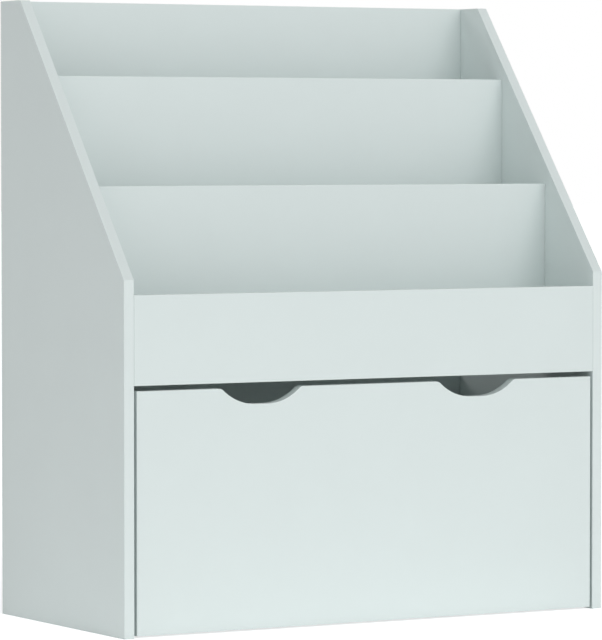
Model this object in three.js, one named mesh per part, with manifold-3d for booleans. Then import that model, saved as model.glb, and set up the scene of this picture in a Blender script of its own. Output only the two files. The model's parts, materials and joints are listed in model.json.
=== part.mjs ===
// A stepped bookcase: three book pockets between two sloping sides, over a bay with a box on castors.
// Millimetres, +Z up, +X to the viewer's right; the front faces -Y.
// The origin lies in the middle of the footprint, on the floor.

import * as THREE from "three";
import { mergeVertices } from "three/addons/utils/BufferGeometryUtils.js";
import Module from "manifold-3d";

const wasm = await Module();
wasm.setup();

// The whole bookcase
const overallWidth = 750;
const overallDepth = 358;
const overallHeight = 840;

// Boards
const sideThickness = 15;
const boardThickness = 15;
const edgeChamfer = 0.6;
const jointGap = 0.1; // between two boards that meet

// What rises above what, from the top down; the drawer bay has the height that is left
const backRise = 103; // upper back panel above the upper tier
const upperTierRise = 147.5; // upper tier above the lower tier
const lowerTierRise = 140.5; // lower tier above the fascia
const fasciaHeight = 118.5;
const sideRise = 19.5; // upright front edge of the sides above the fascia
const pocketHeight = 106; // floor of an upper pocket below the top of the panel before it
const lowerBackDrop = 20.5; // top of the lower back panel below the top of the drawer bay

// Depths
const sideTopDepth = 60; // flat top of the sides, at the back
const lowerTierSetback = 23.5; // top of the panel behind the sloping edge
const upperTierSetback = 17;

// Drawer
const drawerSideGap = 4; // beside the drawer
const drawerTopGap = 7;
const drawerBackGap = 0.5;
const drawerFloorGap = 3; // under the drawer front
const drawerWallLift = 10; // under the walls behind the front
const drawerWallDrop = 59; // top of those walls below the top of the front

// Finger cut-outs in the top edge of the drawer front
const cutoutDepth = 21.6;
const cutoutFlat = 18; // level part in the middle, between two arcs
const cutoutRadius = 72;
const cutoutCornerRadius = 10;
const cutoutSpacing = 337.5;

// Castors
const wheelRadius = 18;
const wheelWidth = 14;
const treadChamfer = 1.6;
const rimThickness = 3.4;
const hubRadius = 5.6;
const hubSlope = 1.1;
const webRecess = 3;
const axleRadius = 2.5;
const axleHeadRadius = 4;
const axleHeadHeight = 1.5;
const runningGap = 0.1; // between wheel and axle
const wheelSideGap = 1;
const wheelTopGap = 4;
const bracketThickness = 2;
const bracketPlateWidth = 44;
const bracketPlateLength = 46;
const cheekTopWidth = 28;
const cheekEndRadius = 6.5;
const screwHoleRadius = 2.2;
const screwHoleInset = 6;
const castorInset = 48; // from the inner faces of the box to the middle of a castor

// Cam locks and their bolts
const camRadius = 7.5;
const camSkin = 2.5; // board left under a cam
const camRecess = 0.2; // top of a cam below the face of its board
const camSetback = 24; // from the end of the board to the middle of the cam
const camCrossWidth = 1.6;
const camCrossLength = 9;
const camCrossDepth = 1.2;
const boltHeadRadius = 3.2;
const boltHeadLength = 2.8;
const boltNeckRadius = 2;
const boltShaftRadius = 3.5;
const boltThreadRadius = 2.5;
const boltTipSkin = 4.5; // side panel left beyond the tip of a bolt
const floorFittingInset = 28; // from the front and rear edge of the front pocket's floor

// Dowels
const dowelRadius = 4;
const dowelReach = 20; // in the pocket floor
const dowelTipSkin = 5; // side panel left beyond the tip of a dowel
const dowelChamfer = 0.8;

// Clearances and cuts
const fitGap = 0.3; // round a piece that sits in a hole
const overrun = 1; // of a cutting solid past the face that it opens

// Facets
const arcSegments = 6;
const wheelSegments = 24;
const camSegments = 12;
const boltSegments = 8;
const axleSegments = 12;
const screwHoleSegments = 8;

// Places that follow from the sizes
const frontY = -overallDepth / 2;
const backY = overallDepth / 2;
const innerX = overallWidth / 2 - sideThickness;
const boardEndX = innerX - jointGap;
const upperTierTop = overallHeight - backRise;
const lowerTierTop = upperTierTop - upperTierRise;
const fasciaTop = lowerTierTop - lowerTierRise;
const bayHeight = fasciaTop - fasciaHeight;
const lowerBackTop = bayHeight - lowerBackDrop;
const bendHeight = fasciaTop + sideRise;
const slopeTopY = backY - sideTopDepth;
const backFaceY = backY - boardThickness;
const fasciaBackY = frontY + boardThickness;
const lowerTierY = slopeY(lowerTierTop) + lowerTierSetback;
const upperTierY = slopeY(upperTierTop) + upperTierSetback;
const frontFloorTop = bayHeight + boardThickness;
const middleFloorTop = lowerTierTop - pocketHeight;
const rearFloorTop = upperTierTop - pocketHeight;
const upperBackBottom = rearFloorTop - boardThickness;
const castorHeight = 2 * wheelRadius + wheelTopGap + bracketThickness;
const drawerHalfWidth = innerX - drawerSideGap;
const drawerInnerX = drawerHalfWidth - boardThickness;
const drawerTop = bayHeight - drawerTopGap;
const drawerWallTop = drawerTop - drawerWallDrop;
const drawerBackY = backFaceY - drawerBackGap;
const drawerInnerBackY = drawerBackY - boardThickness;
const camDepth = boardThickness - camSkin;
const boltReach = camSetback + jointGap + sideThickness - boltTipSkin;

// Where the sloping front edge of the sides lies at a height
function slopeY(height) {
  const share = (height - bendHeight) / (overallHeight - bendHeight);
  return frontY + share * (slopeTopY - frontY);
}

// Materials
function finish(color, roughness, metalness) {
  return new THREE.MeshStandardMaterial({ color, roughness, metalness });
}

const melamine = finish(0xdce5e5, 0.45, 0);
const zincAlloy = finish(0xb4b6b8, 0.45, 0.9);
const zincSteel = finish(0xc8cacc, 0.35, 1);
const beech = finish(0xd9b98a, 0.7, 0);
const nylon = finish(0x3a3d40, 0.5, 0);

// Solids that are joined and cut, and the meshes that show them
function solidOf(geometry) {
  const plain = geometry.clone();
  plain.deleteAttribute("normal");
  plain.deleteAttribute("uv");
  const merged = mergeVertices(plain);
  const mesh = new wasm.Mesh({
    numProp: 3,
    vertProperties: merged.attributes.position.array,
    triVerts: new Uint32Array(merged.index.array),
  });
  return new wasm.Manifold(mesh);
}

function geometryOf(solid) {
  const { vertProperties, triVerts } = solid.getMesh();
  const shared = new THREE.BufferGeometry();
  shared.setAttribute("position", new THREE.BufferAttribute(vertProperties, 3));
  shared.setIndex(new THREE.BufferAttribute(triVerts, 1));
  const faceted = shared.toNonIndexed();
  faceted.computeVertexNormals();
  return faceted;
}

function cut(geometry, tools) {
  const rest = tools.reduce((solid, tool) => solid.subtract(solidOf(tool)), solidOf(geometry));
  return geometryOf(rest);
}

function join(geometries) {
  const [first, ...others] = geometries;
  const whole = others.reduce((solid, other) => solid.add(solidOf(other)), solidOf(first));
  return geometryOf(whole);
}

// A box between two values on each axis
function block([x0, x1], [y0, y1], [z0, z1]) {
  const box = new THREE.BoxGeometry(x1 - x0, y1 - y0, z1 - z0);
  return box.translate((x0 + x1) / 2, (y0 + y1) / 2, (z0 + z1) / 2);
}

// A cylinder along X
function rod(radius, [x0, x1], segments) {
  const cylinder = new THREE.CylinderGeometry(radius, radius, x1 - x0, segments);
  return cylinder.rotateZ(Math.PI / 2).translate((x0 + x1) / 2, 0, 0);
}

// A cylinder along Z
function plug(radius, [z0, z1], segments) {
  const cylinder = new THREE.CylinderGeometry(radius, radius, z1 - z0, segments);
  return cylinder.rotateX(Math.PI / 2).translate(0, 0, (z0 + z1) / 2);
}

// A turned solid along X, from pairs of a radius and a place along X
function turned(profile, segments) {
  const points = profile.map(([radius, along]) => new THREE.Vector2(radius, along));
  return new THREE.LatheGeometry(points, segments).rotateZ(-Math.PI / 2);
}

// A board of any outline, with broken edges, centred on its own thickness
function slab(outline, thickness) {
  const geometry = new THREE.ExtrudeGeometry(outline, {
    depth: thickness - 2 * edgeChamfer,
    bevelThickness: edgeChamfer,
    bevelSize: edgeChamfer,
    bevelOffset: -edgeChamfer,
    bevelSegments: 1,
    curveSegments: arcSegments,
  });
  return geometry.translate(0, 0, edgeChamfer - thickness / 2);
}

function rectangle([u0, u1], [v0, v1]) {
  const outline = new THREE.Shape();
  outline.moveTo(u0, v0);
  outline.lineTo(u1, v0);
  outline.lineTo(u1, v1);
  outline.lineTo(u0, v1);
  outline.closePath();
  return outline;
}

// Turns that lay a slab's outline in the plane of the room that it belongs to
function facingX(geometry, middleX) {
  const turn = new THREE.Matrix4().makeBasis(axisY, axisZ, axisX);
  return geometry.applyMatrix4(turn).translate(middleX, 0, 0);
}

function facingY(geometry, middleY) {
  const turn = new THREE.Matrix4().makeBasis(axisX, axisZ, axisY.clone().negate());
  return geometry.applyMatrix4(turn).translate(0, middleY, 0);
}

const axisX = new THREE.Vector3(1, 0, 0);
const axisY = new THREE.Vector3(0, 1, 0);
const axisZ = new THREE.Vector3(0, 0, 1);
const backward = axisY;
const downward = axisZ.clone().negate();

// A mesh that hangs at the middle of its own box
function addPiece(group, name, geometry, material) {
  const mesh = new THREE.Mesh(geometry, material);
  mesh.name = name;
  geometry.computeBoundingBox();
  geometry.boundingBox.getCenter(mesh.position);
  geometry.translate(-mesh.position.x, -mesh.position.y, -mesh.position.z);
  group.add(mesh);
}

const ends = [
  { side: "left", sign: -1 },
  { side: "right", sign: 1 },
];

// A cam lock in the face of a board and the bolt that it draws in from a side panel.
// In a fitting's own frame the bolt runs along +X towards the side, and +Z leaves the board's face.
function camGeometry() {
  const axisDepth = boardThickness / 2;
  const channelHalf = boltHeadRadius + fitGap;
  const across = [-camCrossLength / 2, camCrossLength / 2];
  const along = [-camCrossWidth / 2, camCrossWidth / 2];
  const crossDepths = [-camRecess - camCrossDepth, overrun];
  const channel = block(
    [-boltHeadLength / 2 - fitGap, camRadius + overrun],
    [-channelHalf, channelHalf],
    [-camDepth - overrun, channelHalf - axisDepth],
  );
  const body = plug(camRadius, [-camDepth, -camRecess], camSegments);
  return cut(body, [channel, block(across, along, crossDepths), block(along, across, crossDepths)]);
}

function boltGeometry() {
  const headEnd = boltHeadLength / 2;
  const neckEnd = camRadius + fitGap;
  const profile = [
    [0, -headEnd],
    [boltHeadRadius, -headEnd],
    [boltHeadRadius, headEnd],
    [boltNeckRadius, headEnd],
    [boltNeckRadius, neckEnd],
    [boltShaftRadius, neckEnd],
    [boltShaftRadius, camSetback],
    [boltThreadRadius, camSetback],
    [boltThreadRadius, boltReach],
    [0, boltReach],
  ];
  return turned(profile, boltSegments).translate(0, 0, -boardThickness / 2);
}

function fittingHoles() {
  const bore = rod(
    boltShaftRadius + fitGap,
    [-boltHeadLength / 2 - fitGap, camSetback + overrun],
    boltSegments,
  );
  return {
    pocket: plug(camRadius + fitGap, [-camDepth - fitGap, overrun], camSegments),
    bore: bore.translate(0, 0, -boardThickness / 2),
    socket: rod(
      boltThreadRadius + fitGap,
      [camSetback - overrun, boltReach + fitGap],
      boltSegments,
    ).translate(0, 0, -boardThickness / 2),
  };
}

// Where a fitting sits: on the face of a board, at one of its ends
function fittingPlace(sign, y, z, outward) {
  const towardsSide = axisX.clone().multiplyScalar(sign);
  const across = outward.clone().cross(towardsSide);
  const place = new THREE.Matrix4().makeBasis(towardsSide, across, outward);
  return place.setPosition(sign * (boardEndX - camSetback), y, z);
}

const camGeometryShared = camGeometry();
const boltGeometryShared = boltGeometry();
const holes = fittingHoles();

const fittings = {
  fascia: { y: fasciaBackY, z: (frontFloorTop + fasciaTop) / 2, outward: backward },
  lower_tier: {
    y: lowerTierY + boardThickness,
    z: (frontFloorTop + middleFloorTop - boardThickness) / 2,
    outward: backward,
  },
  upper_tier: {
    y: upperTierY + boardThickness,
    z: (middleFloorTop + rearFloorTop - boardThickness) / 2,
    outward: backward,
  },
  lower_back: { y: backY, z: lowerBackTop / 2, outward: backward },
  upper_back: { y: backY, z: (upperBackBottom + overallHeight) / 2, outward: backward },
  floor_front: { y: fasciaBackY + floorFittingInset, z: bayHeight, outward: downward },
  floor_rear: { y: lowerTierY - floorFittingInset, z: bayHeight, outward: downward },
};

function placesOf(name) {
  const { y, z, outward } = fittings[name];
  return ends.map(({ sign }) => fittingPlace(sign, y, z, outward));
}

function boardHoles(names) {
  return names.flatMap((name) =>
    placesOf(name).flatMap((place) => [
      holes.pocket.clone().applyMatrix4(place),
      holes.bore.clone().applyMatrix4(place),
    ]),
  );
}

function addFittings(group) {
  Object.entries(fittings).forEach(([name, { y, z, outward }]) =>
    ends.forEach(({ side, sign }) => {
      const fitting = new THREE.Group();
      fittingPlace(sign, y, z, outward).decompose(fitting.position, fitting.quaternion, fitting.scale);
      const lock = new THREE.Mesh(camGeometryShared, zincAlloy);
      lock.name = `cam_lock_${name}_${side}`;
      const bolt = new THREE.Mesh(boltGeometryShared, zincSteel);
      bolt.name = `cam_bolt_${name}_${side}`;
      fitting.add(lock, bolt);
      group.add(fitting);
    }),
  );
}

// Dowels at the ends of the two small pocket floors
const dowels = {
  middle_floor: { y: (lowerTierY + boardThickness + upperTierY) / 2, z: middleFloorTop },
  rear_floor: { y: (upperTierY + boardThickness + backFaceY) / 2, z: rearFloorTop },
};
const dowelInnerX = boardEndX - dowelReach;
const dowelTipX = overallWidth / 2 - dowelTipSkin;

function dowelGeometry() {
  const profile = [
    [0, dowelInnerX],
    [dowelRadius - dowelChamfer, dowelInnerX],
    [dowelRadius, dowelInnerX + dowelChamfer],
    [dowelRadius, dowelTipX - dowelChamfer],
    [dowelRadius - dowelChamfer, dowelTipX],
    [0, dowelTipX],
  ];
  return turned(profile, boltSegments);
}

function dowelHole(name, sign) {
  const { y, z } = dowels[name];
  const bore = rod(dowelRadius + fitGap, [dowelInnerX - fitGap, dowelTipX + fitGap], boltSegments);
  return bore.rotateZ(sign < 0 ? Math.PI : 0).translate(0, y, z - boardThickness / 2);
}

function dowelHoles(name) {
  return ends.map(({ sign }) => dowelHole(name, sign));
}

function addDowels(group) {
  Object.entries(dowels).forEach(([name, { y, z }]) =>
    ends.forEach(({ side, sign }) => {
      const dowel = dowelGeometry().rotateZ(sign < 0 ? Math.PI : 0);
      addPiece(group, `dowel_${name}_${side}`, dowel.translate(0, y, z - boardThickness / 2), beech);
    }),
  );
}

// Side panels
function sidePanel(sign) {
  const outline = new THREE.Shape();
  outline.moveTo(frontY, 0);
  outline.lineTo(backY, 0);
  outline.lineTo(backY, overallHeight);
  outline.lineTo(slopeTopY, overallHeight);
  outline.lineTo(frontY, bendHeight);
  outline.closePath();
  const board = facingX(slab(outline, sideThickness), sign * (innerX + sideThickness / 2));
  const sockets = Object.values(fittings).map(({ y, z, outward }) =>
    holes.socket.clone().applyMatrix4(fittingPlace(sign, y, z, outward)),
  );
  const dowelSockets = Object.keys(dowels).map((name) => dowelHole(name, sign));
  return cut(board, [...sockets, ...dowelSockets]);
}

// Boards between the sides
function uprightBoard(nearY, [z0, z1], tools = []) {
  const board = slab(rectangle([-boardEndX, boardEndX], [z0, z1]), boardThickness);
  return cut(facingY(board, nearY + boardThickness / 2), tools);
}

function levelBoard([y0, y1], topZ, tools = []) {
  const board = slab(rectangle([-boardEndX, boardEndX], [y0, y1]), boardThickness);
  return cut(board.translate(0, 0, topZ - boardThickness / 2), tools);
}

function addCabinet(group) {
  ends.forEach(({ side, sign }) => addPiece(group, `side_panel_${side}`, sidePanel(sign), melamine));
  const pieces = {
    lower_back_panel: uprightBoard(backFaceY, [0, lowerBackTop], boardHoles(["lower_back"])),
    upper_back_panel: uprightBoard(
      backFaceY,
      [upperBackBottom, overallHeight],
      boardHoles(["upper_back"]),
    ),
    fascia: uprightBoard(frontY, [bayHeight, fasciaTop], boardHoles(["fascia"])),
    front_pocket_floor: levelBoard(
      [fasciaBackY + jointGap, lowerTierY - jointGap],
      frontFloorTop,
      boardHoles(["floor_front", "floor_rear"]),
    ),
    lower_tier_panel: uprightBoard(lowerTierY, [bayHeight, lowerTierTop], boardHoles(["lower_tier"])),
    middle_pocket_floor: levelBoard(
      [lowerTierY + boardThickness + jointGap, upperTierY - jointGap],
      middleFloorTop,
      dowelHoles("middle_floor"),
    ),
    upper_tier_panel: uprightBoard(
      upperTierY,
      [middleFloorTop - boardThickness, upperTierTop],
      boardHoles(["upper_tier"]),
    ),
    rear_pocket_floor: levelBoard(
      [upperTierY + boardThickness + jointGap, backFaceY - jointGap],
      rearFloorTop,
      dowelHoles("rear_floor"),
    ),
  };
  Object.entries(pieces).forEach(([name, geometry]) => addPiece(group, name, geometry, melamine));
}

// Drawer front, its top edge dipping twice for the fingers
function cutoutInto(outline, middleX) {
  const centreX = cutoutFlat / 2;
  const centreZ = drawerTop - cutoutDepth + cutoutRadius;
  const cornerZ = drawerTop - cutoutCornerRadius;
  const reach = cutoutRadius + cutoutCornerRadius;
  const spread = Math.sqrt(reach ** 2 - (centreZ - cornerZ) ** 2);
  const cornerX = centreX + spread;
  const lean = Math.atan2(spread, centreZ - cornerZ);
  const up = Math.PI / 2;
  outline.absarc(middleX + cornerX, cornerZ, cutoutCornerRadius, up, up + lean, false);
  outline.absarc(middleX + centreX, centreZ, cutoutRadius, lean - up, -up, true);
  outline.absarc(middleX - centreX, centreZ, cutoutRadius, -up, -lean - up, true);
  outline.absarc(middleX - cornerX, cornerZ, cutoutCornerRadius, up - lean, up, false);
}

function drawerFront() {
  const outline = new THREE.Shape();
  outline.moveTo(-drawerHalfWidth, drawerFloorGap);
  outline.lineTo(drawerHalfWidth, drawerFloorGap);
  outline.lineTo(drawerHalfWidth, drawerTop);
  cutoutInto(outline, cutoutSpacing / 2);
  cutoutInto(outline, -cutoutSpacing / 2);
  outline.lineTo(-drawerHalfWidth, drawerTop);
  outline.closePath();
  return facingY(slab(outline, boardThickness), frontY + boardThickness / 2);
}

// The open box behind the drawer front
function addDrawerBox(group) {
  const wallHeights = [drawerWallLift, drawerWallTop];
  const innerWidth = [jointGap - drawerInnerX, drawerInnerX - jointGap];
  const boxFrontY = fasciaBackY + jointGap;
  addPiece(group, "drawer_front", drawerFront(), melamine);
  ends.forEach(({ side, sign }) => {
    const wall = slab(rectangle([boxFrontY, drawerBackY], wallHeights), boardThickness);
    const middleX = sign * (drawerInnerX + boardThickness / 2);
    addPiece(group, `drawer_side_${side}`, facingX(wall, middleX), melamine);
  });
  const back = slab(rectangle(innerWidth, wallHeights), boardThickness);
  addPiece(group, "drawer_back", facingY(back, drawerInnerBackY + boardThickness / 2), melamine);
  const bottom = slab(rectangle(innerWidth, [boxFrontY, drawerInnerBackY - jointGap]), boardThickness);
  const bottomZ = castorHeight + jointGap + boardThickness / 2;
  addPiece(group, "drawer_bottom", bottom.translate(0, 0, bottomZ), melamine);
}

// Castors: each has its origin on the axle's middle, which runs along X
function wheelGeometry() {
  const half = wheelWidth / 2;
  const web = half - webRecess;
  const bore = axleRadius + runningGap;
  const rimInner = wheelRadius - rimThickness;
  const profile = [
    [bore, -half],
    [hubRadius, -half],
    [hubRadius + hubSlope, -web],
    [rimInner, -web],
    [rimInner, -half],
    [wheelRadius - treadChamfer, -half],
    [wheelRadius, treadChamfer - half],
    [wheelRadius, half - treadChamfer],
    [wheelRadius - treadChamfer, half],
    [rimInner, half],
    [rimInner, web],
    [hubRadius + hubSlope, web],
    [hubRadius, half],
    [bore, half],
    [bore, -half],
  ];
  return turned(profile, wheelSegments);
}

function axleGeometry() {
  const headStart = wheelWidth / 2 + wheelSideGap + bracketThickness + runningGap;
  const headEnd = headStart + axleHeadHeight;
  const profile = [
    [0, -headEnd],
    [axleHeadRadius, -headEnd],
    [axleHeadRadius, -headStart],
    [axleRadius, -headStart],
    [axleRadius, headStart],
    [axleHeadRadius, headStart],
    [axleHeadRadius, headEnd],
    [0, headEnd],
  ];
  return turned(profile, axleSegments);
}

function bracketGeometry() {
  const plateTop = castorHeight - wheelRadius;
  const plateHeights = [plateTop - bracketThickness, plateTop];
  const halfWidth = bracketPlateWidth / 2;
  const halfLength = bracketPlateLength / 2;
  const plate = block([-halfWidth, halfWidth], [-halfLength, halfLength], plateHeights);
  const cornerDistance = Math.hypot(cheekTopWidth / 2, plateTop);
  const tangent = Math.atan2(plateTop, cheekTopWidth / 2) - Math.acos(cheekEndRadius / cornerDistance);
  const outline = new THREE.Shape();
  outline.moveTo(-cheekTopWidth / 2, plateTop);
  outline.lineTo(cheekTopWidth / 2, plateTop);
  outline.absarc(0, 0, cheekEndRadius, tangent, -Math.PI - tangent, true);
  outline.closePath();
  const cheeks = ends.map(({ sign }) => {
    const cheek = new THREE.ExtrudeGeometry(outline, {
      depth: bracketThickness,
      bevelEnabled: false,
      curveSegments: arcSegments,
    });
    const middleX = sign * (wheelWidth / 2 + wheelSideGap + bracketThickness / 2);
    return facingX(cheek.translate(0, 0, -bracketThickness / 2), middleX);
  });
  const screwHoles = ends.flatMap(({ sign }) =>
    ends.map((other) => {
      const hole = plug(
        screwHoleRadius,
        [plateHeights[0] - overrun, plateTop + overrun],
        screwHoleSegments,
      );
      const x = sign * (halfWidth - screwHoleInset);
      return hole.translate(x, other.sign * (halfLength - screwHoleInset), 0);
    }),
  );
  const axleHole = rod(axleRadius + runningGap, [-halfWidth, halfWidth], axleSegments);
  return cut(join([plate, ...cheeks]), [...screwHoles, axleHole]);
}

function addCastors(group) {
  const shapes = [
    { name: "bracket", geometry: bracketGeometry(), material: zincSteel },
    { name: "wheel", geometry: wheelGeometry(), material: nylon },
    { name: "axle", geometry: axleGeometry(), material: zincSteel },
  ];
  const rows = [
    { row: "front", y: fasciaBackY + castorInset },
    { row: "rear", y: drawerInnerBackY - castorInset },
  ];
  rows.forEach(({ row, y }) =>
    ends.forEach(({ side, sign }) => {
      const castor = new THREE.Group();
      castor.position.set(sign * (drawerInnerX - castorInset), y, wheelRadius);
      shapes.forEach(({ name, geometry, material }) => {
        const mesh = new THREE.Mesh(geometry, material);
        mesh.name = `castor_${name}_${row}_${side}`;
        castor.add(mesh);
      });
      group.add(castor);
    }),
  );
}

const cabinet = new THREE.Group();
addCabinet(cabinet);
addFittings(cabinet);
addDowels(cabinet);

const drawer = new THREE.Group();
addDrawerBox(drawer);
addCastors(drawer);

const bookcase = new THREE.Group();
bookcase.add(cabinet, drawer);

export default bookcase;
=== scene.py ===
import bmesh
import bpy
import json
import math
from mathutils import Matrix, Vector


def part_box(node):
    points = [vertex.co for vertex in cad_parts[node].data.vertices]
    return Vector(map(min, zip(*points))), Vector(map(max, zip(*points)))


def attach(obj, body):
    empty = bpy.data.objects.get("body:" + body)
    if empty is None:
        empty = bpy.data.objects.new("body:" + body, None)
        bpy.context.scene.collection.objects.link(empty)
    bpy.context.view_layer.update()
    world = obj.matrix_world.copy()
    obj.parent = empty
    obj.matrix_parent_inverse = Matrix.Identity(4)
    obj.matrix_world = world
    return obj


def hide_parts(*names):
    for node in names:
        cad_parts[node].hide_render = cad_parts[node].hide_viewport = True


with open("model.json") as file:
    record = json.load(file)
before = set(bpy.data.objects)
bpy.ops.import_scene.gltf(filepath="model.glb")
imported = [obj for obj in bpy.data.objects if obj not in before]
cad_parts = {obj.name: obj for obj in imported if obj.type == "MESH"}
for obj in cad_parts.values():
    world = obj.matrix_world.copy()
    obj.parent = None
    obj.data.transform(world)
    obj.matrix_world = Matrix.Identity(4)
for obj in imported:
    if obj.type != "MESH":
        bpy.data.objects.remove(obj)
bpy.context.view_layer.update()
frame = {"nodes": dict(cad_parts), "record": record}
print("packed model loaded:", len(frame["nodes"]), "nodes")


# Camera, where the photograph was taken from

view = {
    "place": (-3.00152, -5.13101, 0.65119),
    "pitch": 2.393,  # degrees below the horizon
    "turn": 30.294,  # degrees to the right of +Y
    "lens": 242.69,
    "sensor": 36.0,  # along the picture's long side
}

camera = bpy.data.objects.new("camera", bpy.data.cameras.new("camera"))
camera.data.lens = view["lens"]
camera.data.sensor_width = view["sensor"]
camera.location = view["place"]
camera.rotation_euler = (math.radians(90 - view["pitch"]), 0, -math.radians(view["turn"]))
bpy.context.collection.objects.link(camera)
bpy.context.scene.camera = camera
print("camera placed")


# Node helpers

def setSockets(node, sockets):
    for name, value in sockets.items():
        node.inputs[name.replace("_", " ")].default_value = value
    return node


def addNode(tree, kind, **sockets):
    return setSockets(tree.nodes.new(kind), sockets)


def addGroup(tree, group, **sockets):
    node = tree.nodes.new("ShaderNodeGroup")
    node.node_tree = group
    return setSockets(node, sockets)


def link(tree, source, target):
    tree.links.new(source, target)


# The result of a math node; each value is a socket or a number
def addMath(tree, operation, *values):
    node = addNode(tree, "ShaderNodeMath")
    node.operation = operation
    for socket, value in zip(node.inputs, values):
        if isinstance(value, bpy.types.NodeSocket):
            link(tree, value, socket)
        else:
            socket.default_value = value
    return node.outputs[0]


def newGroup(name, inputs, outputs):
    group = bpy.data.node_groups.new(name, "ShaderNodeTree")
    for direction, sockets in (("INPUT", inputs), ("OUTPUT", outputs)):
        for title, kind in sockets.items():
            group.interface.new_socket(name=title, in_out=direction, socket_type=kind)
    return group, group.nodes.new("NodeGroupInput"), group.nodes.new("NodeGroupOutput")


toneNoise = {
    "detail": 4.0,
    "roughness": 0.6,
    "middle": 0.5,  # value at which the colour is unchanged
}
reliefNoise = {
    "grainDetail": 2.0,
    "grainRoughness": 0.5,
    "patchScale": 12.0,
    "patchDetail": 3.0,
}


# Uneven tone: a colour that is a little lighter and darker from place to place
def makeToneGroup():
    group, inside, outside = newGroup(
        "unevenTone",
        {
            "Color": "NodeSocketColor",
            "Scale": "NodeSocketFloat",
            "Amount": "NodeSocketFloat",
            "Stretch": "NodeSocketVector",
        },
        {"Color": "NodeSocketColor"},
    )
    place = addNode(group, "ShaderNodeTexCoord")
    mapping = addNode(group, "ShaderNodeMapping")
    noise = addNode(
        group, "ShaderNodeTexNoise", Detail=toneNoise["detail"], Roughness=toneNoise["roughness"],
    )
    tint = addNode(group, "ShaderNodeVectorMath")
    tint.operation = "SCALE"
    link(group, place.outputs["Object"], mapping.inputs["Vector"])
    link(group, inside.outputs["Stretch"], mapping.inputs["Scale"])
    link(group, mapping.outputs["Vector"], noise.inputs["Vector"])
    link(group, inside.outputs["Scale"], noise.inputs["Scale"])
    centred = addMath(group, "SUBTRACT", noise.outputs["Fac"], toneNoise["middle"])
    swing = addMath(group, "MULTIPLY_ADD", centred, inside.outputs["Amount"], 1.0)
    link(group, inside.outputs["Color"], tint.inputs[0])
    link(group, swing, tint.inputs["Scale"])
    link(group, tint.outputs[0], outside.inputs["Color"])
    return group


# Fine relief for a bump and the roughness that goes with it
def makeReliefGroup():
    group, inside, outside = newGroup(
        "fineRelief",
        {
            "Scale": "NodeSocketFloat",
            "Stretch": "NodeSocketVector",
            "Roughness": "NodeSocketFloat",
            "Spread": "NodeSocketFloat",
        },
        {"Height": "NodeSocketFloat", "Roughness": "NodeSocketFloat"},
    )
    place = addNode(group, "ShaderNodeTexCoord")
    mapping = addNode(group, "ShaderNodeMapping")
    grain = addNode(
        group, "ShaderNodeTexNoise",
        Detail=reliefNoise["grainDetail"], Roughness=reliefNoise["grainRoughness"],
    )
    patches = addNode(
        group, "ShaderNodeTexNoise", Scale=reliefNoise["patchScale"], Detail=reliefNoise["patchDetail"],
    )
    sheen = addNode(group, "ShaderNodeMapRange")
    link(group, place.outputs["Object"], mapping.inputs["Vector"])
    link(group, inside.outputs["Stretch"], mapping.inputs["Scale"])
    link(group, inside.outputs["Scale"], grain.inputs["Scale"])
    for noise in (grain, patches):
        link(group, mapping.outputs["Vector"], noise.inputs["Vector"])
    for operation, socket in (("SUBTRACT", "To Min"), ("ADD", "To Max")):
        edge = addMath(group, operation, inside.outputs["Roughness"], inside.outputs["Spread"])
        link(group, edge, sheen.inputs[socket])
    link(group, patches.outputs["Fac"], sheen.inputs["Value"])
    link(group, grain.outputs["Fac"], outside.inputs["Height"])
    link(group, sheen.outputs["Result"], outside.inputs["Roughness"])
    return group


toneGroup = makeToneGroup()
reliefGroup = makeReliefGroup()


# A material whose colour, roughness and relief come from the two groups
def makeMaterial(name, look):
    material = bpy.data.materials.new(name)
    material.use_nodes = True
    tree = material.node_tree
    shader = tree.nodes["Principled BSDF"]
    shader.inputs["Metallic"].default_value = look.get("metallic", 0.0)
    stretch = look.get("stretch", (1, 1, 1))
    tone = addGroup(
        tree, toneGroup,
        Color=(*look["color"], 1), Scale=look["toneScale"], Amount=look["toneAmount"], Stretch=stretch,
    )
    relief = addGroup(
        tree, reliefGroup,
        Scale=look["grainScale"], Stretch=stretch,
        Roughness=look["roughness"], Spread=look["roughnessSpread"],
    )
    bump = addNode(tree, "ShaderNodeBump", Strength=look["bump"], Distance=look["bumpDepth"])
    link(tree, tone.outputs["Color"], shader.inputs["Base Color"])
    link(tree, relief.outputs["Roughness"], shader.inputs["Roughness"])
    link(tree, relief.outputs["Height"], bump.inputs["Height"])
    link(tree, bump.outputs["Normal"], shader.inputs["Normal"])
    return material


# Raw particle board in the drilled holes: flakes of several browns
def makeParticleBoard(name, look):
    material = makeMaterial(name, look)
    tree = material.node_tree
    place = addNode(tree, "ShaderNodeTexCoord")
    flakes = addNode(tree, "ShaderNodeTexVoronoi", Scale=look["flakeScale"])
    browns = addNode(tree, "ShaderNodeValToRGB")
    for element, color in zip(browns.color_ramp.elements, look["flakeColors"]):
        element.color = (*color, 1)
    link(tree, place.outputs["Object"], flakes.inputs["Vector"])
    link(tree, flakes.outputs["Color"], browns.inputs["Fac"])
    link(tree, browns.outputs["Color"], tree.nodes["Principled BSDF"].inputs["Base Color"])
    return material


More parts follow.
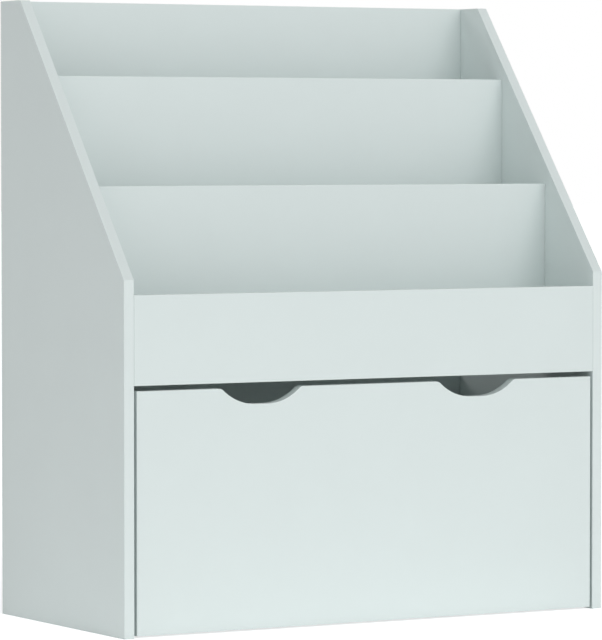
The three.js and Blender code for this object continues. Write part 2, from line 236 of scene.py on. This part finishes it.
melamine = makeMaterial("melamine", {
    "color": (0.723, 0.799, 0.791),
    "toneScale": 14.0,
    "toneAmount": 0.03,
    "roughness": 0.42,
    "roughnessSpread": 0.05,
    "grainScale": 900.0,
    "bump": 0.12,
    "bumpDepth": 0.0002,
})
edgeBand = makeMaterial("edgeBand", {
    "color": (0.735, 0.808, 0.801),
    "toneScale": 60.0,
    "toneAmount": 0.02,
    "roughness": 0.36,
    "roughnessSpread": 0.04,
    "grainScale": 600.0,
    "bump": 0.06,
    "bumpDepth": 0.0002,
})
particleBoard = makeParticleBoard("particleBoard", {
    "color": (0.42, 0.29, 0.17),
    "toneScale": 300.0,
    "toneAmount": 0.4,
    "roughness": 0.9,
    "roughnessSpread": 0.05,
    "grainScale": 1500.0,
    "bump": 0.8,
    "bumpDepth": 0.0005,
    "flakeScale": 700.0,
    "flakeColors": ((0.22, 0.13, 0.06), (0.62, 0.47, 0.3)),
})
castZinc = makeMaterial("castZinc", {
    "color": (0.46, 0.468, 0.478),
    "metallic": 0.95,
    "toneScale": 500.0,
    "toneAmount": 0.18,
    "roughness": 0.46,
    "roughnessSpread": 0.08,
    "grainScale": 2600.0,
    "bump": 0.35,
    "bumpDepth": 0.0002,
})
platedSteel = makeMaterial("platedSteel", {
    "color": (0.58, 0.59, 0.605),
    "metallic": 1.0,
    "toneScale": 260.0,
    "toneAmount": 0.12,
    "stretch": (1, 8, 1),
    "roughness": 0.32,
    "roughnessSpread": 0.07,
    "grainScale": 900.0,
    "bump": 0.15,
    "bumpDepth": 0.0001,
})
beech = makeMaterial("beech", {
    "color": (0.694, 0.484, 0.254),
    "toneScale": 900.0,
    "toneAmount": 0.35,
    "stretch": (0.08, 1, 1),
    "roughness": 0.68,
    "roughnessSpread": 0.06,
    "grainScale": 1800.0,
    "bump": 0.3,
    "bumpDepth": 0.0002,
})
nylon = makeMaterial("nylon", {
    "color": (0.042, 0.047, 0.051),
    "toneScale": 180.0,
    "toneAmount": 0.25,
    "roughness": 0.5,
    "roughnessSpread": 0.08,
    "grainScale": 1400.0,
    "bump": 0.3,
    "bumpDepth": 0.0002,
})
boardMaterials = [melamine, edgeBand, particleBoard]
faceIndex, bandIndex, coreIndex = range(3)
print("materials made")


# Mesh helpers

shading = {
    "mergeDistance": 1e-6,
    "poleDistance": 1e-7,  # at the axis of a turned solid
    "sharpAngle": 40,  # degrees
}


def addObject(name, bm, materials):
    mesh = bpy.data.meshes.new(name)
    bm.to_mesh(mesh)
    bm.free()
    for material in materials:
        mesh.materials.append(material)
    thing = bpy.data.objects.new(name, mesh)
    bpy.context.collection.objects.link(thing)
    return thing


# A finished piece: smooth, with sharp corners kept, riding on its body
def settle(name, bm, materials, body, replaced=()):
    bmesh.ops.remove_doubles(bm, verts=bm.verts, dist=shading["mergeDistance"])
    bmesh.ops.recalc_face_normals(bm, faces=bm.faces)
    for face in bm.faces:
        face.smooth = True
    piece = addObject(name, bm, materials)
    piece.data.set_sharp_from_angle(angle=math.radians(shading["sharpAngle"]))
    weighted = piece.modifiers.new("weighted normals", "WEIGHTED_NORMAL")
    weighted.keep_sharp = True
    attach(piece, body)
    if replaced:
        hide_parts(*replaced)
    return piece


def block(bm, low, high):
    low, high = Vector(low), Vector(high)
    verts = bmesh.ops.create_cube(bm, size=1)["verts"]
    bmesh.ops.scale(bm, vec=high - low, verts=verts)
    bmesh.ops.translate(bm, vec=(low + high) / 2, verts=verts)


def rod(bm, start, end, radius, steps):
    start, end = Vector(start), Vector(end)
    along = end - start
    turn = Vector((0, 0, 1)).rotation_difference(along).to_matrix().to_4x4()
    bmesh.ops.create_cone(
        bm, cap_ends=True, segments=steps, radius1=radius, radius2=radius, depth=along.length,
        matrix=Matrix.Translation((start + end) / 2) @ turn,
    )


# A solid turned about X from pairs of a radius and a place along X
def turned(bm, profile, steps):
    ring = [bm.verts.new((along, radius, 0)) for radius, along in profile]
    edges = [bm.edges.new(pair) for pair in zip(ring, ring[1:])]
    bmesh.ops.spin(
        bm, geom=ring + edges, cent=(0, 0, 0), axis=(1, 0, 0), angle=2 * math.pi,
        steps=steps, use_merge=True,
    )
    bmesh.ops.remove_doubles(bm, verts=bm.verts, dist=shading["poleDistance"])
    bmesh.ops.recalc_face_normals(bm, faces=bm.faces)


# Turns the X axis of a solid to +Z
def stand(bm):
    bmesh.ops.rotate(bm, verts=bm.verts, cent=(0, 0, 0), matrix=Matrix.Rotation(-math.pi / 2, 3, "Y"))


# The angles of a quarter circle
def quarterTurn(steps):
    return [math.pi / 2 * step / steps for step in range(steps + 1)]


# The other half of a profile that is alike on both sides
def mirrored(profile):
    return [(radius, -along) for radius, along in reversed(profile)]


# One solid cut by another, or joined to it
def combine(bm, other, operation, materials, index=0):
    for face in other.faces:
        face.material_index = index
    stock = addObject("stock", bm, materials)
    tool = addObject("tool", other, materials)
    change = stock.modifiers.new("change", "BOOLEAN")
    change.operation = operation
    change.solver = "EXACT"
    change.use_self = True
    change.object = tool
    mesh = bpy.data.meshes.new_from_object(stock.evaluated_get(bpy.context.evaluated_depsgraph_get()))
    result = bmesh.new()
    result.from_mesh(mesh)
    for thing in (stock, tool):
        data = thing.data
        bpy.data.objects.remove(thing)
        bpy.data.meshes.remove(data)
    bpy.data.meshes.remove(mesh)
    return result


def sharpEdges(bm, angle):
    return [edge for edge in bm.edges if edge.is_manifold and edge.calc_face_angle() > math.radians(angle)]


def roundOff(bm, edges, radius, steps):
    bmesh.ops.bevel(
        bm, geom=edges, offset=radius, offset_type="OFFSET", affect="EDGES",
        segments=steps, profile=0.5, material=-1, clamp_overlap=True,
    )


# The face that a closed line of edges bounds, made a solid
def thicken(bm, depth):
    bmesh.ops.contextual_create(bm, geom=bm.edges)
    faces = bmesh.ops.extrude_face_region(bm, geom=bm.faces)["geom"]
    moved = [item for item in faces if isinstance(item, bmesh.types.BMVert)]
    bmesh.ops.translate(bm, vec=depth, verts=moved)
    bmesh.ops.recalc_face_normals(bm, faces=bm.faces)


def centreOf(node):
    low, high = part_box(node)
    return (low + high) / 2


# Fasteners that lie in the boards: a cam lock's pocket, and the bores of its bolt and of a dowel

fastener = {
    "play": 0.0003,  # between a fastener and its hole
    "overrun": 0.001,  # of a cutter past the face that it opens
    "pocketSteps": 48,
    "boreSteps": 24,
    "sinkSteps": 32,
}
screw = {
    "headRadius": 0.0037,
    "headHeight": 0.0019,
    "shankRadius": 0.0018,
    "shankLength": 0.0105,
    "domeSteps": 5,
    "crossLength": 0.0038,
    "crossWidth": 0.0009,
    "crossDepth": 0.0012,
    "steps": 32,
}
locks = sorted(name for name in frame["nodes"] if name.startswith("cam_lock"))
pins = sorted(name for name in frame["nodes"] if name.startswith(("cam_bolt", "dowel")))


def meets(nodeBox, otherBox):
    return all(nodeBox[0][i] < otherBox[1][i] and otherBox[0][i] < nodeBox[1][i] for i in range(3))


# The place of a fastener: +Z leaves the board and +X runs along the given direction
def facing(spot, outward, along):
    turn = Matrix((along, outward.cross(along), outward)).transposed().to_4x4()
    return Matrix.Translation(spot) @ turn


# The place of a cam lock, its +X running to the nearer side panel
def lockPlace(lock, boardNode):
    low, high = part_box(lock)
    boardLow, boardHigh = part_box(boardNode)
    middle = (low + high) / 2
    axis = min(range(3), key=lambda i: high[i] - low[i])
    opensHigh = boardHigh[axis] - high[axis] < low[axis] - boardLow[axis]
    outward = Vector([0, 0, 0])
    outward[axis] = 1 if opensHigh else -1
    middle[axis] = (high if opensHigh else low)[axis]
    return facing(middle, outward, Vector((math.copysign(1, middle.x), 0, 0)))


# The drawer box's own fasteners: cam locks behind the front, flat screws into its back and bottom

drawerFastener = {
    "lockRadius": 0.0075,
    "lockHeight": 0.0123,
    "lockRecess": 0.0002,
    "lockSetback": 0.024,  # from the front's back face
    "lockShares": (0.3, 0.78),  # of the height of a drawer side
    "bottomShares": (0.12, 0.5, 0.88),  # of the bottom's depth
    "backShares": (0.22, 0.72),  # of the back's height
}


def drawerLockPlaces(side):
    low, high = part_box(f"drawer_side_{side}")
    outward = Vector((1 if side == "left" else -1, 0, 0))
    innerX = (high if side == "left" else low).x - outward.x * drawerFastener["lockRecess"]
    spots = [
        Vector((innerX, low.y + drawerFastener["lockSetback"], low.z + share * (high.z - low.z)))
        for share in drawerFastener["lockShares"]
    ]
    return [facing(spot, outward, Vector((0, -1, 0))) for spot in spots]


def drawerScrewPlaces(side):
    low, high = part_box(f"drawer_side_{side}")
    bottomMiddle, backMiddle = centreOf("drawer_bottom"), centreOf("drawer_back")
    inward = Vector((1 if side == "left" else -1, 0, 0))
    outerX = (low if side == "left" else high).x
    bottomLow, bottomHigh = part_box("drawer_bottom")
    backLow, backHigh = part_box("drawer_back")
    spots = [
        Vector((outerX, bottomLow.y + share * (bottomHigh.y - bottomLow.y), bottomMiddle.z))
        for share in drawerFastener["bottomShares"]
    ]
    spots += [
        Vector((outerX, backMiddle.y, backLow.z + share * (backHigh.z - backLow.z)))
        for share in drawerFastener["backShares"]
    ]
    return [facing(spot, inward, Vector((0, 0, 1))) for spot in spots]


# The pockets of the drawer's locks and the sinks of its screws, in one of its sides
def drillDrawerSide(cutter, side):
    play, over = fastener["play"], fastener["overrun"]
    for place in drawerLockPlaces(side):
        bottom = place @ Vector((0, 0, -drawerFastener["lockHeight"] - play))
        top = place @ Vector((0, 0, over))
        rod(cutter, bottom, top, drawerFastener["lockRadius"] + play, fastener["pocketSteps"])
    sinkDepth = screw["headHeight"] + play
    for place in drawerScrewPlaces(side):
        bmesh.ops.create_cone(
            cutter, cap_ends=True, segments=fastener["sinkSteps"], radius1=screw["headRadius"] + play,
            radius2=screw["shankRadius"], depth=sinkDepth,
            matrix=place @ Matrix.Translation((0, 0, sinkDepth / 2 - play / 2)),
        )


def drillBoard(bm, boardNode):
    cutter = bmesh.new()
    play = fastener["play"]
    for lock in locks:
        if boardNode not in lockBoards[lock]:
            continue
        low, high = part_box(lock)
        place = lockPlace(lock, boardNode)
        top = place @ Vector((0, 0, fastener["overrun"]))
        bottom = place @ Vector((0, 0, -min(high - low) - play))
        rod(cutter, bottom, top, (high.x - low.x) / 2 + play, fastener["pocketSteps"])
    if boardNode.startswith("drawer_side"):
        drillDrawerSide(cutter, boardNode.rpartition("_")[2])
    for pin in pins:
        low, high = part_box(pin)
        if not meets((low, high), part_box(boardNode)):
            continue
        middle = centreOf(pin)
        start, end = (low.x - play, middle.y, middle.z), (high.x + play, middle.y, middle.z)
        rod(cutter, start, end, (high.z - low.z) / 2 + play, fastener["boreSteps"])
    if not cutter.faces:
        return bm
    return combine(bm, cutter, "DIFFERENCE", boardMaterials, coreIndex)


# Boards: a core between two faces, with a band glued round its edges

board = {
    "bandThickness": 0.001,
    "edgeRadius": 0.0006,
    "edgeSteps": 3,
    "cornerAngle": 30,  # degrees
}
# Each board and the axis that it is thin along: 0 is X, 1 is Y and 2 is Z
boardNodes = {
    "side_panel_left": 0,
    "side_panel_right": 0,
    "lower_back_panel": 1,
    "upper_back_panel": 1,
    "fascia": 1,
    "lower_tier_panel": 1,
    "upper_tier_panel": 1,
    "front_pocket_floor": 2,
    "middle_pocket_floor": 2,
    "rear_pocket_floor": 2,
    "drawer_front": 1,
    "drawer_side_left": 0,
    "drawer_side_right": 0,
    "drawer_back": 1,
    "drawer_bottom": 2,
}
bodyOf = {node: body for body, nodes in frame["record"]["behaviour"]["bodies"].items() for node in nodes}
lockBoards = {
    lock: [name for name in boardNodes if meets(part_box(lock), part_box(name))] for lock in locks
}


# The side panel's outline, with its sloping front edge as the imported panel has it
def sideOutline(bm, node):
    low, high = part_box(node)
    points = [vertex.co for vertex in frame["nodes"][node].data.vertices]
    near = 1e-5
    bendZ = max(point.z for point in points if point.y < low.y + near)
    slopeY = min(point.y for point in points if point.z > high.z - near)
    corners = [(low.y, low.z), (high.y, low.z), (high.y, high.z), (slopeY, high.z), (low.y, bendZ)]
    verts = [bm.verts.new((low.x, y, z)) for y, z in corners]
    for pair in zip(verts, verts[1:] + verts[:1]):
        bm.edges.new(pair)
    thicken(bm, (high.x - low.x, 0, 0))


fingerCutout = {
    "depth": 0.0216,
    "flat": 0.018,  # level part in the middle, between two arcs
    "radius": 0.072,
    "cornerRadius": 0.01,
    "spacing": 0.3375,
    "steps": 24,
    "cornerSteps": 8,
}


# The drawer front's outline, its top edge dipping twice for the fingers
def frontOutline(bm, node):
    low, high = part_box(node)
    radius, corner, centreX = fingerCutout["radius"], fingerCutout["cornerRadius"], fingerCutout["flat"] / 2
    bottomZ = high.z - fingerCutout["depth"]
    centreZ, cornerZ = bottomZ + radius, high.z - corner
    spread = math.sqrt((radius + corner) ** 2 - (centreZ - cornerZ) ** 2)
    cornerX, lean = centreX + spread, math.atan2(spread, centreZ - cornerZ)

    def draw(last, x, z):
        vert = bm.verts.new((x, low.y, z))
        if last:
            bm.edges.new((last, vert))
        return vert

    def swing(last, x, z, turn, steps):
        turnedGeometry = bmesh.ops.spin(
            bm, geom=[last], cent=(x, low.y, z), axis=(0, -1, 0), angle=turn, steps=steps, use_merge=False,
        )
        return next(item for item in turnedGeometry["geom_last"] if isinstance(item, bmesh.types.BMVert))

    first = draw(None, low.x, low.z)
    last = draw(draw(first, high.x, low.z), high.x, high.z)
    for middleX in (fingerCutout["spacing"] / 2, -fingerCutout["spacing"] / 2):
        last = draw(last, middleX + cornerX, high.z)
        last = swing(last, middleX + cornerX, cornerZ, lean, fingerCutout["cornerSteps"])
        last = swing(last, middleX + centreX, centreZ, -lean, fingerCutout["steps"])
        last = draw(last, middleX - centreX, bottomZ)
        last = swing(last, middleX - centreX, centreZ, -lean, fingerCutout["steps"])
        last = swing(last, middleX - cornerX, cornerZ, lean, fingerCutout["cornerSteps"])
    last = draw(last, low.x, high.z)
    bm.edges.new((last, first))
    thicken(bm, (0, high.y - low.y, 0))


def makeBoard(node, thinAxis):
    bm = bmesh.new()
    if node.startswith("side_panel"):
        sideOutline(bm, node)
    elif node == "drawer_front":
        frontOutline(bm, node)
    else:
        block(bm, *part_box(node))
    broad = [face for face in bm.faces if round(abs(face.normal[thinAxis])) == 1]
    for face in bm.faces:
        face.material_index = faceIndex if face in broad else bandIndex
    rim = bmesh.ops.inset_region(bm, faces=broad, thickness=board["bandThickness"], use_even_offset=True)
    for face in rim["faces"]:
        face.material_index = bandIndex
    roundOff(bm, sharpEdges(bm, board["cornerAngle"]), board["edgeRadius"], board["edgeSteps"])
    bm = drillBoard(bm, node)
    return settle(f"{node}_board", bm, boardMaterials, bodyOf[node], [node])


for node, thinAxis in boardNodes.items():
    makeBoard(node, thinAxis)
print("boards made:", len(boardNodes))


# Cam locks: die-cast, with a cross recess, an arrow by the rim and a channel for the bolt's head

camLock = {
    "rimChamfer": 0.0004,
    "crossLength": 0.009,
    "crossWidth": 0.0016,
    "crossDepth": 0.0014,
    "arrowRadius": 0.001,
    "arrowPlace": 0.0058,
    "arrowDepth": 0.0003,
    "channelWidth": 0.007,
    "channelStart": -0.0017,
    "channelTop": -0.0038,  # below the lock's face
    "steps": 48,
}


# The recess that a driver turns, between two heights
def crossRecess(cutter, settings, bottom, top):
    long, wide = settings["crossLength"] / 2, settings["crossWidth"] / 2
    block(cutter, (-long, -wide, bottom), (long, wide, top))
    block(cutter, (-wide, -long, bottom), (wide, long, top))


def makeLock(name, radius, height, place, body, replaced=()):
    bm = bmesh.new()
    chamfer, over = camLock["rimChamfer"], fastener["overrun"]
    profile = [(0, -height), (radius, -height), (radius, -chamfer), (radius - chamfer, 0), (0, 0)]
    turned(bm, profile, camLock["steps"])
    stand(bm)
    cutter = bmesh.new()
    crossRecess(cutter, camLock, -camLock["crossDepth"], over)
    bmesh.ops.create_cone(
        cutter, cap_ends=True, segments=3, radius1=camLock["arrowRadius"], radius2=camLock["arrowRadius"],
        depth=2 * camLock["arrowDepth"],
        matrix=Matrix.Translation((camLock["arrowPlace"], 0, 0)) @ Matrix.Rotation(math.pi, 4, "Z"),
    )
    half = camLock["channelWidth"] / 2
    channelLow = (camLock["channelStart"], -half, -height - over)
    block(cutter, channelLow, (radius + over, half, camLock["channelTop"]))
    bm = combine(bm, cutter, "DIFFERENCE", [castZinc])
    bmesh.ops.transform(bm, matrix=place, verts=bm.verts)
    return settle(name, bm, [castZinc], body, replaced)


for node in locks:
    low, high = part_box(node)
    place = lockPlace(node, lockBoards[node][0])
    makeLock(f"{node}_cast", (high.x - low.x) / 2, min(high - low), place, "cabinet", [node])
print("cam locks made:", len(locks))


# Bolts and dowels stay as packed, out of sight inside the boards
for node in pins:
    for materialSlot in frame["nodes"][node].material_slots:
        materialSlot.material = beech if node.startswith("dowel") else platedSteel


# Castors, each round the middle of its wheel, with the axle along X

wheel = {
    "treadRadius": 0.003,
    "treadSteps": 6,
    "grooveDepth": 0.0005,
    "grooveWidth": 0.0008,
    "rim": 0.0034,
    "hub": 0.0056,
    "webDepth": 0.003,
    "bore": 0.0026,
    "chamfer": 0.0006,
    "steps": 64,
}


def makeWheel(node):
    low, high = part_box(node)
    radius, half = (high.z - low.z) / 2, (high.x - low.x) / 2
    tread, web, bore = wheel["treadRadius"], half - wheel["webDepth"], wheel["bore"]
    rimInner, hub, chamfer = radius - wheel["rim"], wheel["hub"], wheel["chamfer"]
    grooveHalf, grooveFloor = wheel["grooveWidth"] / 2, radius - wheel["grooveDepth"]
    shoulder = [
        (radius - tread + tread * math.sin(angle), half - tread + tread * math.cos(angle))
        for angle in quarterTurn(wheel["treadSteps"])
    ]
    side = [
        (bore, 0),
        (bore, half - chamfer),
        (bore + chamfer, half),
        (hub - chamfer, half),
        (hub, half - chamfer),
        (hub + chamfer, web + chamfer),
        (hub + 2 * chamfer, web),
        (rimInner - chamfer, web),
        (rimInner, web + chamfer),
        (rimInner, half - chamfer),
        (rimInner + chamfer, half),
        *shoulder,
        (radius, grooveHalf + wheel["grooveDepth"]),
        (grooveFloor, grooveHalf),
        (grooveFloor, 0),
    ]
    bm = bmesh.new()
    turned(bm, side + mirrored(side)[1:], wheel["steps"])
    bmesh.ops.translate(bm, vec=centreOf(node), verts=bm.verts)
    return settle(f"{node}_moulded", bm, [nylon], bodyOf[node], [node])


axle = {
    "shaft": 0.0025,
    "headRadius": 0.004,
    "domeSteps": 5,
    "steps": 40,
}


# A rivet pin, its two heads domed
def makeAxle(node):
    low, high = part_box(node)
    headStart, radius = cheekOuter(node.replace("axle", "wheel")), axle["headRadius"]
    height = (high.x - low.x) / 2 - headStart
    dome = [
        (radius * math.sin(angle), headStart + height * math.cos(angle))
        for angle in quarterTurn(axle["domeSteps"])
    ]
    side = [*dome, (radius, headStart), (axle["shaft"], headStart)]
    bm = bmesh.new()
    turned(bm, side + mirrored(side), axle["steps"])
    bmesh.ops.translate(bm, vec=centreOf(node), verts=bm.verts)
    return settle(f"{node}_rivet", bm, [platedSteel], bodyOf[node], [node])


bracket = {
    "sheet": 0.002,
    "cornerRadius": 0.004,
    "cornerSteps": 6,
    "cheekGap": 0.001,  # beside the wheel
    "cheekTop": 0.028,
    "cheekEnd": 0.0065,
    "endSteps": 16,
    "holeInset": 0.006,
    "holeRadius": 0.0022,
    "holeSteps": 24,
    "axleHole": 0.0026,
    "axleHoleSteps": 32,
    "edgeRadius": 0.0003,
    "edgeSteps": 2,
    "cornerAngle": 50,  # degrees
}


def cheekOuter(wheelNode):
    low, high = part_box(wheelNode)
    return (high.x - low.x) / 2 + bracket["cheekGap"] + bracket["sheet"]


# A cheek of the fork: straight at the plate, drawn in to a round end below the axle
def cheek(bm, innerX, top):
    half, end = bracket["cheekTop"] / 2, bracket["cheekEnd"]
    tangent = math.atan2(top, half) - math.acos(end / math.hypot(half, top))
    outline = bmesh.new()
    corner = outline.verts.new((innerX, half, top))
    start = outline.verts.new((innerX, end * math.cos(tangent), end * math.sin(tangent)))
    outline.edges.new((corner, start))
    spun = bmesh.ops.spin(
        outline, geom=[start], cent=(innerX, 0, 0), axis=(1, 0, 0), angle=-(math.pi + 2 * tangent),
        steps=bracket["endSteps"], use_merge=False,
    )
    last = next(item for item in spun["geom_last"] if isinstance(item, bmesh.types.BMVert))
    other = outline.verts.new((innerX, -half, top))
    outline.edges.new((last, other))
    outline.edges.new((other, corner))
    thicken(outline, (bracket["sheet"], 0, 0))
    return combine(bm, outline, "UNION", [platedSteel])


def makeBracket(node):
    low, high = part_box(node)
    middle = centreOf(node.replace("bracket", "wheel"))
    low, high = low - middle, high - middle
    sheet, top = bracket["sheet"], high.z
    bm = bmesh.new()
    block(bm, (low.x, low.y, top - sheet), (high.x, high.y, top))
    upright = [edge for edge in bm.edges if abs(edge.verts[0].co.z - edge.verts[1].co.z) > sheet / 2]
    roundOff(bm, upright, bracket["cornerRadius"], bracket["cornerSteps"])
    outer = cheekOuter(node.replace("bracket", "wheel"))
    for innerX in (outer - sheet, -outer):
        bm = cheek(bm, innerX, top - sheet / 2)
    cutter = bmesh.new()
    rod(cutter, (low.x, 0, 0), (high.x, 0, 0), bracket["axleHole"], bracket["axleHoleSteps"])
    for x, y in screwPlaces(low, high):
        start, end = (x, y, top - 2 * sheet), (x, y, top + sheet)
        rod(cutter, start, end, bracket["holeRadius"], bracket["holeSteps"])
    bm = combine(bm, cutter, "DIFFERENCE", [platedSteel])
    roundOff(bm, sharpEdges(bm, bracket["cornerAngle"]), bracket["edgeRadius"], bracket["edgeSteps"])
    bmesh.ops.translate(bm, vec=middle, verts=bm.verts)
    return settle(f"{node}_pressed", bm, [platedSteel], bodyOf[node], [node])


def screwPlaces(low, high):
    inset = bracket["holeInset"]
    return [(x, y) for x in (low.x + inset, high.x - inset) for y in (low.y + inset, high.y - inset)]


# A screw with its head's seat at the origin and its shank along +Z; a flat head lies under the seat's face
def makeScrew(flat=False):
    radius, height, shank = screw["headRadius"], screw["headHeight"], screw["shankRadius"]
    if flat:
        top, profile = 0, [(0, 0), (radius, 0), (shank, height)]
    else:
        arc = quarterTurn(screw["domeSteps"])
        dome = [(radius * math.sin(angle), -height * math.cos(angle)) for angle in arc]
        top, profile = -height, [*dome, (shank, 0)]
    profile += [(shank, screw["shankLength"] - shank), (0, screw["shankLength"])]
    bm = bmesh.new()
    turned(bm, profile, screw["steps"])
    stand(bm)
    cutter = bmesh.new()
    crossRecess(cutter, screw, top - fastener["overrun"], top + screw["crossDepth"])
    return combine(bm, cutter, "DIFFERENCE", [platedSteel])


# Several copies of one screw in one piece; each place is a matrix
def placeScrews(name, places, body, flat=False):
    whole = bmesh.new()
    single = bpy.data.meshes.new("screw")
    shape = makeScrew(flat)
    shape.to_mesh(single)
    shape.free()
    for place in places:
        count = len(whole.verts)
        whole.from_mesh(single)
        whole.verts.ensure_lookup_table()
        bmesh.ops.transform(whole, matrix=place, verts=whole.verts[count:])
    bpy.data.meshes.remove(single)
    return settle(name, whole, [platedSteel], body)


def makeCastorScrews(node):
    low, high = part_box(node)
    seat = high.z - bracket["sheet"]
    places = [Matrix.Translation((x, y, seat)) for x, y in screwPlaces(low, high)]
    return placeScrews(node.replace("bracket", "screws"), places, bodyOf[node])


for side in ("left", "right"):
    placeScrews(f"drawer_screws_{side}", drawerScrewPlaces(side), "drawer", flat=True)
    for index, place in enumerate(drawerLockPlaces(side)):
        height, radius = drawerFastener["lockHeight"], drawerFastener["lockRadius"]
        makeLock(f"drawer_lock_{side}_{index}", radius, height, place, "drawer")
print("drawer fasteners made")
castorPlaces = [f"{row}_{side}" for row in ("front", "rear") for side in ("left", "right")]
for place in castorPlaces:
    makeWheel(f"castor_wheel_{place}")
    makeAxle(f"castor_axle_{place}")
    makeBracket(f"castor_bracket_{place}")
    makeCastorScrews(f"castor_bracket_{place}")
print("castors made:", len(castorPlaces))


# Floor and light

studio = {
    "floorSize": 60.0,
    "floorColor": (0.92, 0.93, 0.93),
    "floorRoughness": 0.9,
    "floorGlow": 0.27,  # before the bookcase and beside it
    "glowBeside": 0.37,  # from the middle, where the glow begins along X
    "glowBefore": -0.175,  # where it begins along Y
    "glowBehind": 0.3,  # where it ends along Y
    "glowBlend": 0.03,
    "floorSeen": 0.7,  # the glow that the camera sees, everywhere
    "skyFront": 0.7,  # the sky behind the bookcase gives no light
    "skyEnds": (-0.35, 0.05),  # of the fade, along Y of a direction
    "suns": {
        "frontSun": {"power": 0.7, "angle": 40.0, "height": 25.0, "turn": 15.0},
        "leftSun": {"power": 0.35, "angle": 40.0, "height": 25.0, "turn": -80.0},
        "rearSun": {"power": 0.37, "angle": 20.0, "height": 24.5, "turn": -130.0},
    },
}


def makeFloor():
    bm = bmesh.new()
    bmesh.ops.create_grid(bm, x_segments=1, y_segments=1, size=studio["floorSize"] / 2)
    material = bpy.data.materials.new("floor")
    material.use_nodes = True
    tree = material.node_tree
    shader = tree.nodes["Principled BSDF"]
    shader.inputs["Base Color"].default_value = (*studio["floorColor"], 1)
    shader.inputs["Roughness"].default_value = studio["floorRoughness"]
    shader.inputs["Specular IOR Level"].default_value = 0.0
    strength = addNode(tree, "ShaderNodeMapRange", To_Max=studio["floorSeen"])
    glow = addNode(tree, "ShaderNodeEmission")
    both = addNode(tree, "ShaderNodeAddShader")
    link(tree, glowPlace(tree), strength.inputs["To Min"])
    link(tree, seenDirectly(tree), strength.inputs["Value"])
    link(tree, strength.outputs["Result"], glow.inputs["Strength"])
    link(tree, shader.outputs["BSDF"], both.inputs[0])
    link(tree, glow.outputs["Emission"], both.inputs[1])
    link(tree, both.outputs["Shader"], tree.nodes["Material Output"].inputs["Surface"])
    addObject("floor", bm, [material])


# A value that rises from 0 to its top over the blend, along the source
def addRise(tree, source, start, blend, top=1.0):
    ramp = addNode(tree, "ShaderNodeMapRange", From_Min=start, From_Max=start + blend, To_Max=top)
    link(tree, source, ramp.inputs["Value"])
    return ramp.outputs["Result"]


# The floor's glow: nil under the bookcase and behind it
def glowPlace(tree):
    place = addNode(tree, "ShaderNodeTexCoord")
    parts = addNode(tree, "ShaderNodeSeparateXYZ")
    link(tree, place.outputs["Object"], parts.inputs["Vector"])
    blend = studio["glowBlend"]
    distance = addMath(tree, "ABSOLUTE", parts.outputs["X"])
    beside = addRise(tree, distance, studio["glowBeside"], blend)
    before = addRise(tree, parts.outputs["Y"], studio["glowBefore"], -blend)
    notBehind = addRise(tree, parts.outputs["Y"], studio["glowBehind"], -blend, studio["floorGlow"])
    return addMath(tree, "MULTIPLY", addMath(tree, "MAXIMUM", beside, before), notBehind)


# 1 for rays from the camera, reflections and see-through surfaces, else 0
def seenDirectly(tree):
    path = addNode(tree, "ShaderNodeLightPath")
    either = addMath(tree, "MAXIMUM", path.outputs["Is Camera Ray"], path.outputs["Is Glossy Ray"])
    return addMath(tree, "MAXIMUM", either, path.outputs["Is Transmission Ray"])


def makeSky():
    world = bpy.data.worlds.new("sky")
    bpy.context.scene.world = world
    world.use_nodes = True
    tree = world.node_tree
    background = tree.nodes["Background"]
    background.inputs["Color"].default_value = (1, 1, 1, 1)
    direction = addNode(tree, "ShaderNodeTexCoord")
    parts = addNode(tree, "ShaderNodeSeparateXYZ")
    fadeStart, fadeEnd = studio["skyEnds"]
    light = addNode(
        tree, "ShaderNodeMapRange",
        From_Min=fadeStart, From_Max=fadeEnd, To_Min=studio["skyFront"], To_Max=0.0,
    )
    light.interpolation_type = "SMOOTHSTEP"
    strength = addNode(tree, "ShaderNodeMapRange", To_Max=1.0)
    link(tree, direction.outputs["Generated"], parts.inputs["Vector"])
    link(tree, parts.outputs["Y"], light.inputs["Value"])
    link(tree, light.outputs["Result"], strength.inputs["To Min"])
    link(tree, seenDirectly(tree), strength.inputs["Value"])
    link(tree, strength.outputs["Result"], background.inputs["Strength"])


# A lamp far away; its turn is measured from -Y towards +X
def makeSun(name, settings):
    lamp = bpy.data.lights.new(name, "SUN")
    lamp.energy = settings["power"]
    lamp.angle = math.radians(settings["angle"])
    sun = bpy.data.objects.new(name, lamp)
    sun.rotation_euler = (math.radians(90 - settings["height"]), 0, math.radians(settings["turn"]))
    bpy.context.collection.objects.link(sun)


makeFloor()
makeSky()
for name, settings in studio["suns"].items():
    makeSun(name, settings)
bpy.context.scene.view_settings.view_transform = "Standard"
print("floor and light made")
